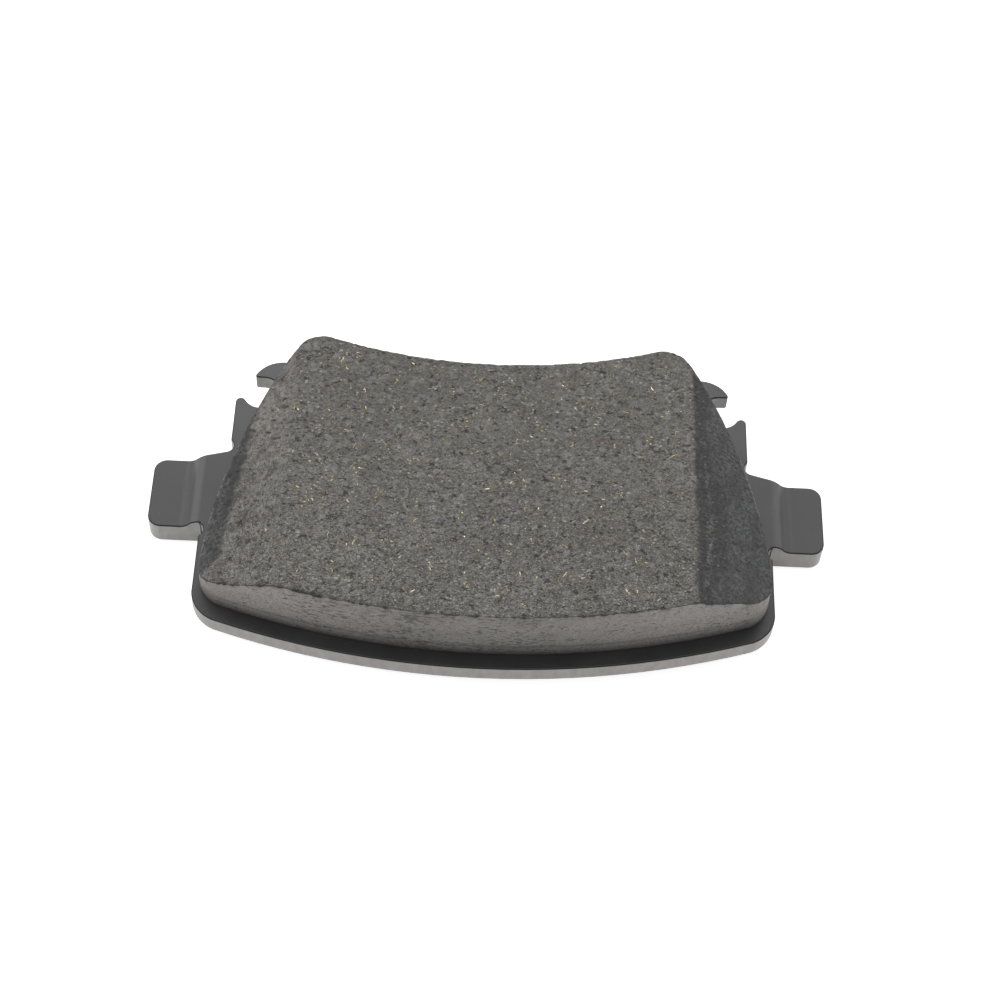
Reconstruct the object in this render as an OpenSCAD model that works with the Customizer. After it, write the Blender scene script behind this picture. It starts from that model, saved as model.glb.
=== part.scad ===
// Disc brake pad for a sliding caliper, lying on its back with the friction face up.
// The outer edge of the pad, nearest the disc's rim, is at -Y and its inner edge is at +Y.
// The origin is under the middle of the pad, in the plane of the shim's back face.

/* [Backing plate] */
// Width over both lugs
span_w = 105.4; // [102:0.2:110]
// Height from the crown of the outer edge to the top of the fins
plate_h = 55.4; // [54:0.2:58]
// Thickness of the steel
plate_t = 5.6; // [4.6:0.1:6.4]
// Radius of the convex outer edge
front_r = 132; // [124:1:150]
// Radius of the outer corners
front_corner_r = 5.7; // [5:0.1:7]
// Radius of the concave inner edge
back_r = 85.8; // [80:0.2:92]
// Distance of the inner corners, which end in the fins, inside the sides of the plate
crown_in = 5.5; // [5:0.1:6]
// Radius of the inner corners
back_corner_r = 5.05; // [4.5:0.05:5.6]
// Height of the bevel round the back face
bevel_h = 2.6; // [1:0.1:3]
// Width of the bevel round the back face
bevel_w = 2; // [0.6:0.1:2.3]

/* [Lugs] */
// Length of a lug outside the side of the plate
lug_l = 8.4; // [7.6:0.1:9.4]
// Height of a lug along its end face
lug_h = 12.5; // [11:0.1:13.2]
// Middle of the lugs, measured from the middle of the plate
lug_y = 2.25; // [1.6:0.05:2.6]
// Thickness of a lug after its top is coined down
lug_t = 4.1; // [3:0.1:4.6]
// Distance from the side of the plate to the flat coined top of a lug
coin_out = 2.45; // [2.4:0.05:3.4]
// Steepness of the coined step, in degrees
coin_angle = 48; // [42:1:60]
// Radius of the coined step, at its top and its foot
coin_r = 1.9; // [0.6:0.1:2]
// Radius of the outer corners of a lug on the front side
lug_front_r = 2.1; // [0.6:0.1:2.5]
// Radius of the outer corners of a lug on the back side
lug_back_r = 2; // [0.6:0.1:3]
// Radius of the relief notch under the root of a lug
front_notch_r = 1.2; // [0.8:0.1:1.6]
// Distance that this notch is set outside the side of the plate
front_notch_out = 0.55; // [0:0.05:0.6]
// Radius of the relief notch above the root of a lug
back_notch_r = 1.25; // [0.9:0.05:1.5]
// Distance that this notch is set outside the side of the hook
back_notch_out = 0.75; // [0.5:0.05:0.85]
// Height of this notch above the back edge of the lug
back_notch_up = 2.3; // [2.05:0.05:2.7]
// Slope of the lug's root from this notch down to the lug, in degrees
root_slope = 15; // [12:1:22]

/* [Spring clip recess] */
// Distance of a hook's outer side inside the side of the plate
shoulder_in = 3.3; // [2.8:0.1:3.9]
// Distance of a recess's middle inside the outer side of its hook
recess_in = 4.05; // [3.85:0.05:4.4]
// Radius of a recess
recess_r = 3; // [2.6:0.1:3.2]
// Height of a fin from its flat side to the top of the plate
fin_h = 3.3; // [2.8:0.1:3.8]
// Radius of the hook's round tip
hook_tip_r = 0.8; // [0.65:0.05:0.95]
// Radius of the fin's round nose
fin_nose_r = 0.6; // [0.5:0.05:0.7]
// Distance of this nose inside the point where the fin's arc and flat side would meet
fin_nose_in = 0.24; // [0.18:0.02:0.3]

/* [Friction lining] */
// Thickness of the friction block
friction_t = 8.8; // [5:0.2:12]
// Thickness of the underlayer
underlayer_t = 2; // [1:0.1:3]
// Thickness of the bonding film
film_t = 0.2; // [0.1:0.05:0.4]
// Ledge of bare plate at each side, beside the widest place of the lining
side_ledge = 1; // [0.7:0.1:2.3]
// Height of that widest place above the crown of the outer edge
lining_wide_y = 8.8; // [7:0.2:10]
// Radius of the lining's outer edge
lining_front_r = 127.7; // [122:0.5:134]
// Radius of the lining's two ends
end_r = 75; // [70:1:82]
// Ledge of bare plate along the outer edge
front_ledge = 2.5; // [2:0.1:4]
// Ledge of bare plate along the inner edge
back_ledge = 0.35; // [0.2:0.05:1.5]
// Radius of the lining's outer corners
lining_front_corner_r = 4.9; // [4:0.1:6]
// Radius of the lining's inner corners
lining_back_corner_r = 4.5; // [3.6:0.1:5]
// Length of each chamfer, from the widest place of the lining to the flat friction face
chamfer_l = 12.5; // [10:0.1:16]
// Slope of the chamfer on the left end, in degrees
chamfer_left = 29; // [10:1:32]
// Slope of the chamfer on the right end, in degrees
chamfer_right = 22; // [10:1:32]
// Distance between the two moulding holes in the plate
hole_span = 44; // [30:1:52]
// Radius of a moulding hole
hole_r = 4; // [2.5:0.1:5]
// Clearance of the underlayer's plug in its hole
plug_gap = 0.05; // [0.02:0.01:0.1]

/* [Noise shim] */
// Distance of the shim's edge inside the edge of the lining
shim_inset = 2.5; // [2.3:0.1:3.4]
// Thickness of the adhesive that holds the shim
adhesive_t = 0.1; // [0.05:0.05:0.2]
// Thickness of the rubber against the adhesive
inner_rubber_t = 0.1; // [0.05:0.05:0.3]
// Thickness of the shim's steel core
core_t = 0.3; // [0.2:0.05:0.8]
// Thickness of the rubber on the outside
outer_rubber_t = 0.1; // [0.05:0.05:0.3]

/* [Hidden] */
$fn = 96;
// Overlap that keeps a cut clear of the faces it passes through
cut = 1;
// Overshoot of a corner's arc, so that it crosses the two edges it joins
corner_lap = 0.02;
// Reach of a cutting solid, past every edge of the plate
reach = span_w;

// Layers, from the back face upwards
core_z = outer_rubber_t;
inner_rubber_z = core_z + core_t;
adhesive_z = inner_rubber_z + inner_rubber_t;
plate_z = adhesive_z + adhesive_t;
film_z = plate_z + plate_t;
underlayer_z = film_z + film_t;
friction_z = underlayer_z + underlayer_t;
face_z = friction_z + friction_t;

// Plan of the backing plate, on its right side
tip_x = span_w / 2;
side_x = tip_x - lug_l;
shoulder_x = side_x - shoulder_in;
crown_y = -plate_h / 2;
front_c = [0, crown_y + front_r];
front_corner_x = side_x - front_corner_r;
front_corner_c = [
    front_corner_x,
    front_c.y - sqrt(pow(front_r - front_corner_r, 2) - pow(front_corner_x, 2))
];
back_corner_c = [side_x - crown_in - back_corner_r, plate_h / 2 - back_corner_r];
back_c = [0, back_corner_c.y + sqrt(pow(back_r + back_corner_r, 2) - pow(back_corner_c.x, 2))];
lug_front_y = lug_y - lug_h / 2;
lug_back_y = lug_y + lug_h / 2;
front_notch_c = [side_x + front_notch_out, lug_front_y - front_notch_r];
back_notch_c = [shoulder_x + back_notch_out, lug_back_y + back_notch_up];
ramp_top = polar(back_notch_c, back_notch_r, 270 - root_slope);
ramp_foot = [ramp_top.x + (ramp_top.y - lug_back_y) / tan(root_slope), lug_back_y];
mouth_y = plate_h / 2 - fin_h;
recess_c = [shoulder_x - recess_in, mouth_y - recess_r];
hook_tip_x = shoulder_x - hook_tip_r;
hook_tip_c = [
    hook_tip_x,
    recess_c.y - sqrt(pow(recess_r + hook_tip_r, 2) - pow(hook_tip_x - recess_c.x, 2))
];
fin_point_x = back_corner_c.x + sqrt(pow(back_corner_r, 2) - pow(mouth_y - back_corner_c.y, 2));
fin_nose_c = [fin_point_x - fin_nose_in - fin_nose_r, mouth_y + 0.8 * fin_nose_r];

// Plan of the lining, on its right side
lining_x = side_x - side_ledge;
face_x = lining_x - chamfer_l;
lining_front_c = [0, crown_y + front_ledge + lining_front_r];
lining_back_r = back_r + back_ledge;
end_c = [lining_x - end_r, crown_y + lining_wide_y];
lining_front_corner_c = circles_meet(
    end_c, end_r - lining_front_corner_r,
    lining_front_c, lining_front_r - lining_front_corner_r
);
lining_back_corner_c = circles_meet(
    end_c, end_r - lining_back_corner_r,
    back_c, lining_back_r + lining_back_corner_r
);

// Direction, in degrees, of the line from point a to point b
function bearing(a, b) = atan2(b.y - a.y, b.x - a.x);

// Point at distance d from c in direction a
function polar(c, d, a) = c + d * [cos(a), sin(a)];

// The point where two circles meet, on the right of the way from the first centre to the second
function circles_meet(c1, r1, c2, r2) =
    let (d = norm(c2 - c1))
    let (along = (d * d + r1 * r1 - r2 * r2) / (2 * d))
    polar(c1, r1, bearing(c1, c2) - acos(along / r1));

// The children and their mirror image in the plane x = 0
module both_ends() {
    children();
    mirror([1, 0, 0]) children();
}

// What lies outside a corner of radius r about c, between the directions a1 and a2.
// The corner narrows by inset from its top to its foot.
module corner_waste(c, r, a1, a2, h, inset = 0) {
    far = 4 * r;
    translate([c.x, c.y, 0]) difference() {
        linear_extrude(h) polygon([
            [0, 0],
            polar([0, 0], far, a1),
            polar([0, 0], 2 * far, (a1 + a2) / 2),
            polar([0, 0], far, a2)
        ]);
        cylinder(h = h, r1 = r - inset, r2 = r);
    }
}

// The sliver between the tip of a straight corner at p and the arc of radius r that rounds it.
// a1 and a2 are the directions of the corner's two edges.
module rounding_sliver(p, a1, a2, r) {
    half = abs(a2 - a1) / 2;
    tangent = r / tan(half);
    difference() {
        polygon([p, polar(p, tangent, a1), polar(p, tangent, a2)]);
        translate(polar(p, r / sin(half), (a1 + a2) / 2)) circle(r);
    }
}

// Outline of the plate without lugs, recesses and notches, narrowing by inset towards its back
module plate_blank(h, inset = 0) {
    front_a = bearing(front_c, front_corner_c);
    back_a = bearing(back_corner_c, back_c);
    difference() {
        intersection() {
            translate(front_c) cylinder(h = h, r1 = front_r - inset, r2 = front_r);
            translate([0, reach, 0]) rotate([90, 0, 0]) linear_extrude(2 * reach) polygon([
                [inset - side_x, 0], [side_x - inset, 0], [side_x, h], [-side_x, h]
            ]);
        }
        translate(back_c) cylinder(h = h, r1 = back_r + inset, r2 = back_r);
        both_ends() corner_waste(front_corner_c, front_corner_r + corner_lap, front_a, 0, h, inset);
        both_ends() corner_waste(back_corner_c, back_corner_r, 0, back_a, h, 0);
    }
}

// One lug, right through to the middle of the plate's body
module lug() {
    root_x = side_x / 2;
    linear_extrude(plate_t) difference() {
        union() {
            translate([root_x, lug_front_y]) square([tip_x - root_x, lug_h]);
            translate([root_x, lug_y]) square([ramp_foot.x - root_x, back_notch_c.y - lug_y]);
        }
        rounding_sliver([tip_x, lug_front_y], 90, 180, lug_front_r);
        rounding_sliver([tip_x, lug_back_y], 180, 270, lug_back_r);
    }
}

// What coining takes off the top of a lug, with a rounded step down from the body
module coined_top() {
    drop = plate_t - lug_t;
    slope_l = drop / sin(coin_angle);
    tangent = min(coin_r * tan(coin_angle / 2), 0.45 * slope_l);
    round_r = tangent / tan(coin_angle / 2);
    foot = [side_x + coin_out, lug_t];
    crest = polar(foot, slope_l, 180 - coin_angle);
    crest_start = crest - [tangent, 0];
    foot_end = foot + [tangent, 0];
    translate([0, reach / 2, 0]) rotate([90, 0, 0]) linear_extrude(reach) {
        difference() {
            polygon([
                [crest_start.x, plate_t + cut],
                crest_start,
                polar(crest, tangent, -coin_angle),
                polar(foot, tangent, 180 - coin_angle),
                foot_end,
                [reach, lug_t],
                [reach, plate_t + cut]
            ]);
            translate(crest_start - [0, round_r]) circle(round_r);
        }
        translate(foot_end + [0, round_r]) circle(round_r);
    }
}

// The open recess beside the inner corner: a round pocket, and the mouth between the round
// tip of the hook and the round nose of the fin
module clip_recess() {
    nose_top_y = fin_nose_c.y + fin_nose_r / 2;
    translate(recess_c) circle(recess_r);
    difference() {
        polygon([
            recess_c, hook_tip_c, [reach, hook_tip_c.y], [reach, mouth_y], [recess_c.x, mouth_y]
        ]);
        translate(hook_tip_c) circle(hook_tip_r);
    }
    difference() {
        translate([fin_nose_c.x, recess_c.y]) square([reach, nose_top_y - recess_c.y]);
        translate(fin_nose_c) circle(fin_nose_r);
    }
}

// The open corner above the root of a lug: a relief notch in the hook and a slope down to the lug
module root_corner() {
    translate(back_notch_c) circle(back_notch_r);
    polygon([
        ramp_foot, ramp_top, back_notch_c, [shoulder_x, back_notch_c.y],
        [shoulder_x, reach], [reach, reach], [reach, lug_back_y]
    ]);
}

// Everything that is stamped out of one end of the plate
module stamped_waste() {
    translate([0, 0, -cut]) linear_extrude(plate_t + 2 * cut) {
        clip_recess();
        root_corner();
        translate(front_notch_c) circle(front_notch_r);
    }
}

// The space between the lining's two curved ends, of radius r_foot at the foot and r_top at the top
module between_ends(h, r_foot, r_top) {
    intersection() {
        translate(end_c) cylinder(h = h, r1 = r_foot, r2 = r_top);
        mirror([1, 0, 0]) translate(end_c) cylinder(h = h, r1 = r_foot, r2 = r_top);
    }
}

// Where the plate keeps its full thickness: all but the hooks and fins, which are thinned from the back
module full_depth_area(h, inset) {
    translate([-reach, lug_back_y - 2 * reach, 0]) cube([2 * reach, 2 * reach, h]);
    between_ends(h, end_r - inset, end_r);
}

// Outline of the lining, grown outwards by grow and h thick
module lining_prism(h, grow = 0) {
    front_a = bearing(lining_front_c, lining_front_corner_c);
    end_front_a = bearing(end_c, lining_front_corner_c);
    end_back_a = bearing(end_c, lining_back_corner_c);
    back_a = bearing(lining_back_corner_c, back_c);
    lap = grow + corner_lap;
    difference() {
        intersection() {
            translate(lining_front_c) cylinder(h = h, r = lining_front_r + grow);
            between_ends(h, end_r + grow, end_r + grow);
        }
        translate(back_c) cylinder(h = h, r = lining_back_r - grow);
        both_ends() {
            corner_waste(lining_front_corner_c, lining_front_corner_r + lap, front_a, end_front_a, h);
            corner_waste(lining_back_corner_c, lining_back_corner_r + lap, end_back_a, back_a, h);
        }
    }
}

// The two moulding holes, or the plugs that fill them
module hole_pair(r, h) {
    both_ends() translate([hole_span / 2, 0, 0]) cylinder(h = h, r = r);
}

module backing_plate() {
    color("#2b2d30") translate([0, 0, plate_z]) difference() {
        union() {
            translate([0, 0, bevel_h]) plate_blank(plate_t - bevel_h);
            intersection() {
                plate_blank(bevel_h, bevel_w);
                full_depth_area(bevel_h, bevel_w);
            }
            both_ends() lug();
        }
        both_ends() coined_top();
        both_ends() stamped_waste();
        translate([0, 0, -cut]) hole_pair(hole_r, plate_t + 2 * cut);
    }
}

module bond_film() {
    color("#6b4a2a") translate([0, 0, film_z]) difference() {
        lining_prism(film_t);
        translate([0, 0, -cut]) hole_pair(hole_r, film_t + 2 * cut);
    }
}

module underlayer() {
    plug_h = plate_t + film_t;
    color("#55504c") {
        translate([0, 0, underlayer_z]) lining_prism(underlayer_t);
        translate([0, 0, plate_z]) hole_pair(hole_r - plug_gap, plug_h);
    }
}

// What grinding takes off the right end of the friction block
module chamfer_waste(angle) {
    translate([face_x, -reach, face_z]) rotate([0, angle, 0]) cube(2 * reach);
}

module friction_block() {
    color("#6a6661") difference() {
        translate([0, 0, friction_z]) lining_prism(friction_t);
        chamfer_waste(chamfer_right);
        mirror([1, 0, 0]) chamfer_waste(chamfer_left);
    }
}

// One layer of the shim
module shim_layer(z, h) {
    translate([0, 0, z]) lining_prism(h, -shim_inset);
}

module shim_adhesive() {
    color("#c8b890") shim_layer(adhesive_z, adhesive_t);
}

module shim_inner_rubber() {
    color("#202020") shim_layer(inner_rubber_z, inner_rubber_t);
}

module shim_core() {
    color("#a8acb0") shim_layer(core_z, core_t);
}

module shim_outer_rubber() {
    color("#1a1a1a") shim_layer(0, outer_rubber_t);
}

backing_plate();
bond_film();
underlayer();
friction_block();
shim_adhesive();
shim_inner_rubber();
shim_core();
shim_outer_rubber();
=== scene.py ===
# %% [markdown]
# # A disc brake pad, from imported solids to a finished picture
# A brake pad is a bonded stack. A stamped steel plate carries a block of friction
# compound, and a thin noise shim is glued to the plate's back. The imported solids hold
# every size and place, so this lesson adds only what a picture needs on top of them:
# worn edges, a fibrous ground face, brass slivers and the finishes.

import bmesh
import bpy
import numpy as np
from mathutils import Matrix


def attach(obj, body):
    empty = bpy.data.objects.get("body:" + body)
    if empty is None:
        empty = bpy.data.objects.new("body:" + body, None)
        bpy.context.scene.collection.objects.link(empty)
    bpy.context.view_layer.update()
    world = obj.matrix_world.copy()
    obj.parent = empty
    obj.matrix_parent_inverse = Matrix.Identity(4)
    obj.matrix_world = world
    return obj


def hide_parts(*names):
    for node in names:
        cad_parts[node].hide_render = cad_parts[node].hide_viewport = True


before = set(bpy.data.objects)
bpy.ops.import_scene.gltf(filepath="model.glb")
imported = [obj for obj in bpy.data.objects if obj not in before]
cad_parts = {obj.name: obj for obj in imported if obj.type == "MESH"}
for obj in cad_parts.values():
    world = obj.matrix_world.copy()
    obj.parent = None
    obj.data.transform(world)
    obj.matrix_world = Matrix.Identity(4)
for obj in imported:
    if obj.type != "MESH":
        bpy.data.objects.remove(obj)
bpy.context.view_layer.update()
scene = bpy.context.scene
scene.view_settings.view_transform = "Standard"
MM = 0.001
print("solids:", ", ".join(sorted(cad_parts)))

# %% [markdown]
# ## Camera
# The pad was photographed from the front and well above, with a lens of medium length.
# A camera could be placed by eye, but then every edge would miss its place by a little.
# Here its focal length, three turns and distance were fitted to the outline of the pad,
# so they are written as numbers and turned into a camera matrix: a right, an up and an
# ahead direction, and the point where the lens stands.

# %% Camera
image_px = 1000.0
focal_px = 2207.564
pitch, yaw, roll = np.radians([56.192, 1.293, -3.609])
distance_mm = 348.072
origin_px = np.array([486.34, 530.512])
origin_mm = np.array([0.0, 0.3, 0.8])
sensor_mm, near_m, far_m = 36.0, 0.01, 20.0


def flat_turn(angle):
    """Turn in the plane of the first two axes: cosines on them, and sines across."""
    c, s = np.cos(angle), np.sin(angle)
    return np.array([[c, -s, 0], [s, c, 0], [0, 0, 1]])


looking_down = np.array([
    [1, 0, 0],
    [0, np.sin(pitch), np.cos(pitch)],
    [0, np.cos(pitch), -np.sin(pitch)],
])
right, up, ahead = axes = flat_turn(roll) @ looking_down @ flat_turn(yaw)
shift_px = (origin_px - image_px / 2) * [1, -1]
origin_seen = np.append(shift_px * distance_mm / focal_px, distance_mm)
lens_point = (origin_mm - axes.T @ origin_seen) * MM

camera_data = bpy.data.cameras.new("camera")
camera_data.sensor_width = sensor_mm
camera_data.lens = focal_px * sensor_mm / image_px
camera_data.clip_start = near_m
camera_data.clip_end = far_m
camera = bpy.data.objects.new("camera", camera_data)
scene.collection.objects.link(camera)
camera_axes = np.eye(4)
camera_axes[:3] = np.column_stack([right, up, -ahead, lens_point])
camera.matrix_world = Matrix(camera_axes.tolist())
scene.camera = camera
print("lens of", round(camera_data.lens, 2), "mm at", np.round(lens_point / MM, 1), "mm")

# %% [markdown]
# ## Finishes as node trees
# Every finish here is a Principled shader fed by noise. Written out in full, such a tree
# takes a page, so a few small helpers place a node, link its inputs and hand back its
# output. A plain value goes straight on the socket. All patterns read Object
# coordinates, which are metres on the pad, so a noise of scale 1000 has lumps of 1 mm.
# A share is a number from 0 to 1 that says how much of a layer shows at a point.

# %% Helpers for node trees
X, Y, Z = 0, 1, 2
WHITE = (1, 1, 1, 1)
EVEN = (1, 1, 1)


def new_finish(name, **values):
    """A Principled material. Each value is written on the shader's socket of that name."""
    material = bpy.data.materials.new(name)
    material.use_nodes = True
    shader = material.node_tree.nodes["Principled BSDF"]
    for socket, value in values.items():
        shader.inputs[socket.replace("_", " ")].default_value = value
    return material, material.node_tree, shader.inputs


def put(tree, kind, inputs, output=0, **settings):
    """Places one node. A socket among the inputs is linked, and a plain value is written."""
    made = tree.nodes.new("ShaderNode" + kind)
    for name, value in settings.items():
        setattr(made, name, value)
    for name, value in inputs.items():
        if isinstance(value, bpy.types.NodeSocket):
            tree.links.new(value, made.inputs[name])
        else:
            made.inputs[name].default_value = value
    return made.outputs[output]


def coordinate(tree, axis):
    """How far a point lies along one axis of the pad, in metres."""
    return put(tree, "SeparateXYZ", {0: put(tree, "TexCoord", {}, "Object")}, axis)


def on_piece(tree, offset=(0, 0, 0), stretch=EVEN):
    """Object coordinates, moved by an offset in metres and stretched along each axis."""
    place = put(tree, "TexCoord", {}, "Object")
    return put(tree, "Mapping", {"Vector": place, "Location": offset, "Scale": stretch})


def noise(tree, vector, size_mm, detail=3.0, rough=0.55):
    """Noise whose lumps are about size_mm across, with values round 0.5."""
    return put(tree, "TexNoise", {
        "Vector": vector, "Scale": 1 / (size_mm * MM), "Detail": detail, "Roughness": rough,
    })


def noises(tree, rows):
    """Named noises. Each row holds an offset in metres, which sets the noise apart from
    the others, a stretch, the size of the lumps in mm, the detail and any roughness."""
    return {
        name: noise(tree, on_piece(tree, offset, stretch), *grain)
        for name, (offset, stretch, *grain) in rows.items()
    }


def calc(tree, operation, a, b=0.0):
    """One sum on two numbers, such as the larger of them. The result isn't clipped."""
    return put(tree, "Math", {0: a, 1: b}, operation=operation)


def times(tree, a, b):
    """The product of two numbers, which narrows one share by another."""
    return calc(tree, "MULTIPLY", a, b)


def gap_to(tree, value, target):
    """The distance between a value and a target, without its sign."""
    return calc(tree, "ABSOLUTE", calc(tree, "SUBTRACT", value, target))


def between(tree, value, low, high, start=0.0, stop=1.0):
    """A soft step: start below low, stop above high, and a smooth slope in between."""
    return put(tree, "MapRange", {
        "Value": value, "From Min": low, "From Max": high, "To Min": start, "To Max": stop,
    }, interpolation_type="SMOOTHSTEP")


def fades(tree, value, low, high, most=1.0):
    """A soft step down: most below low, and nothing above high."""
    return between(tree, value, low, high, most, 0.0)


def tint(tree, share, under, over):
    """The colour under, covered by the colour over where share is 1."""
    return put(tree, "Mix", {0: share, 6: under, 7: over}, 2, data_type="RGBA")


def coats(tree, colour, *layers):
    """A colour covered by one layer after the other, each a share and a colour."""
    for share, over in layers:
        colour = tint(tree, share, colour, over)
    return colour


def own(tree, name):
    """A number that the piece's mesh carries at each point."""
    return put(tree, "Attribute", {}, "Fac", attribute_name=name)


def bump(tree, height, depth_mm, strength=1.0):
    """Shades the surface as if height, from 0 to 1, were depth_mm of relief."""
    return put(tree, "Bump", {
        "Height": height, "Distance": depth_mm * MM, "Strength": strength,
    })


print("helpers: nodes, coordinates, noises, sums, soft steps, layers of colour and bump")

# %% [markdown]
# ## Floor and light
# Such pads are photographed in a white tent: light from all round, a little more from the
# back left, and a ground that is white to its edges. One way is to overexpose the ground,
# but that would burn out the pad as well. So the floor is a white diffuse sheet that
# keeps the pad's shadow, and it glows a little for camera rays and for mirror rays alone.
# The world does the same, and lights the pad with half its white.

# %% Floor and light
def seen_directly(tree):
    """1 for rays from the camera, off a glossy surface or through glass, and 0 for light."""
    path = tree.nodes.new("ShaderNodeLightPath").outputs
    direct = calc(tree, "MAXIMUM", path["Is Camera Ray"], path["Is Glossy Ray"])
    return calc(tree, "MAXIMUM", direct, path["Is Transmission Ray"])


floor_half_m, floor_z = 3.0, -0.02 * MM
paper_white, paper_glow = (0.9, 0.9, 0.9, 1), 0.8
tent_strength = 0.5
floor_mesh = bpy.data.meshes.new("floor")
floor_corners = floor_half_m * np.array([[-1, -1], [1, -1], [1, 1], [-1, 1]])
floor_points = np.column_stack([floor_corners, np.full(4, floor_z)])
floor_mesh.from_pydata(floor_points.tolist(), [], [(0, 1, 2, 3)])
floor = bpy.data.objects.new("floor", floor_mesh)
scene.collection.objects.link(floor)
paper, tree, face = new_finish(
    "white_paper", Roughness=1.0, Base_Color=paper_white, Specular_IOR_Level=0.0,
    Emission_Color=WHITE,
)
tree.links.new(times(tree, seen_directly(tree), paper_glow), face["Emission Strength"])
floor_mesh.materials.append(paper)

world = scene.world or bpy.data.worlds.new("tent")
scene.world = world
world.use_nodes = True
tree = world.node_tree
tree.nodes["Background"].inputs["Color"].default_value = WHITE
tent_light = between(tree, seen_directly(tree), 0.0, 1.0, tent_strength, 1.0)
tree.links.new(tent_light, tree.nodes["Background"].inputs["Strength"])


def softbox(name, place, width, watts):
    """A square lamp at a place in metres, turned to face the middle of the pad."""
    lamp = bpy.data.lights.new(name, "AREA")
    lamp.size = width
    lamp.energy = watts
    holder = bpy.data.objects.new(name, lamp)
    scene.collection.objects.link(holder)
    back = np.array(place) / np.linalg.norm(place)
    side = np.cross([0, 0, 1], back)
    side /= np.linalg.norm(side)
    turn = np.eye(4)
    turn[:3] = np.column_stack([side, np.cross(back, side), back, place])
    holder.matrix_world = Matrix(turn.tolist())


softbox("back_box", place=(-0.04, 0.36, 0.50), width=0.62, watts=1.3)
softbox("left_box", place=(-0.50, -0.02, 0.34), width=0.34, watts=0.45)
print("stage: floor, tent light and two softboxes")

# %% [markdown]
# ## The backing plate
# The plate is stamped out of steel sheet. The punch drags the top edge down a little, so
# that no edge is quite sharp, and the paint then rounds it further. The solid already has
# the right outline, so redrawing it would only risk its sizes. A copy of its mesh is sewn
# together, its flat faces are joined, and a narrow bevel gives it the soft stamped edge.

# %% Backing plate
sew_mm, sliver_mm, flat_deg = 0.002, 0.05, 0.4
edge_soft_mm, edge_steps, edge_deg = 0.26, 3, 34
flat_weight = 60


def sewn_copy(node, name):
    """A copy of a solid's mesh: loose triangles are merged, edges too short to bevel are
    closed up, and flat neighbours become one face."""
    work = bmesh.new()
    work.from_mesh(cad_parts[node].data)
    bmesh.ops.remove_doubles(work, verts=work.verts, dist=sew_mm * MM)
    bmesh.ops.dissolve_degenerate(work, dist=sliver_mm * MM, edges=work.edges)
    bmesh.ops.dissolve_limit(
        work, angle_limit=np.radians(flat_deg), verts=work.verts, edges=work.edges
    )
    mesh = bpy.data.meshes.new(name)
    work.to_mesh(mesh)
    work.free()
    mesh.materials.clear()
    mesh.shade_smooth()
    piece = bpy.data.objects.new(name, mesh)
    scene.collection.objects.link(piece)
    return piece


plate = sewn_copy("backing_plate", "stamped_plate")
soft_edge = plate.modifiers.new("stamped_edge", "BEVEL")
soft_edge.width = edge_soft_mm * MM
soft_edge.segments = edge_steps
soft_edge.limit_method = "ANGLE"
soft_edge.angle_limit = np.radians(edge_deg)
soft_edge.use_clamp_overlap = False
even_shade = plate.modifiers.new("even_shade", "WEIGHTED_NORMAL")
even_shade.mode = "FACE_AREA"
even_shade.weight = flat_weight
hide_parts("backing_plate")
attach(plate, "root")
print("plate:", len(plate.data.polygons), "faces before its edges are softened")

# %% [markdown]
# ## Satin black paint
# The plate is dipped or powder-coated in black. On the flat tops the paint shows faint
# orange peel and a few specks of dust. On the stamped edges it is grey, partly as thin
# paint that draws back from a rough edge and partly as a painted reflection of the white
# ground. A painted shade makes the rolled-over rim darkest. A painted highlight greys the
# crest of each coined step, and painted light on the slope below it offsets its shade. So
# the colour follows the object's own normal, which tells flats, rims and edges apart, and
# its x for the crest and the slope.

# %% Places on the plate
paint, tree, face = new_finish("satin_black_paint")
crest_x, slope_x, step_x = 45.3 * MM, 46.6 * MM, 46.1 * MM
normal = put(tree, "TexCoord", {}, "Normal")
facing_up = calc(tree, "ABSOLUTE", put(tree, "SeparateXYZ", {0: normal}, Z))
facing_front = calc(tree, "ABSOLUTE", put(tree, "SeparateXYZ", {0: normal}, Y))
from_middle = calc(tree, "ABSOLUTE", coordinate(tree, X))
off_step = between(tree, gap_to(tree, from_middle, step_x), 1.5 * MM, 1.8 * MM)
off_step = calc(tree, "MAXIMUM", off_step, between(tree, facing_front, 0.15, 0.35))
# Stamped edges: grey from thin paint and from a painted reflection of the white ground.
on_edge = fades(tree, facing_up, 0.15, 0.45)
# Painted shade along the rounded rim, which is also made less specular below.
painted_rim_shade = times(tree, between(tree, facing_up, 0.2, 0.45), fades(tree, facing_up, 0.85, 0.97))
painted_rim_shade = times(tree, painted_rim_shade, off_step)
# Painted highlight on each coined step's crest, and painted light on the slope below it.
painted_crest_highlight = fades(tree, gap_to(tree, from_middle, crest_x), 0.1 * MM, 1.0 * MM)
painted_slope_light = fades(tree, gap_to(tree, from_middle, slope_x), 0.3 * MM, 1.4 * MM, 0.8)
at_back = between(tree, coordinate(tree, Y), 4 * MM, 22 * MM)
print("places on the plate: edge, rim, crest, slope and back")

# %% [markdown]
# With the places known, the paint is built up in coats. It starts as a black that looks
# greyer towards the back, where it mirrors the tent, and the places lie over it.

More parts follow.
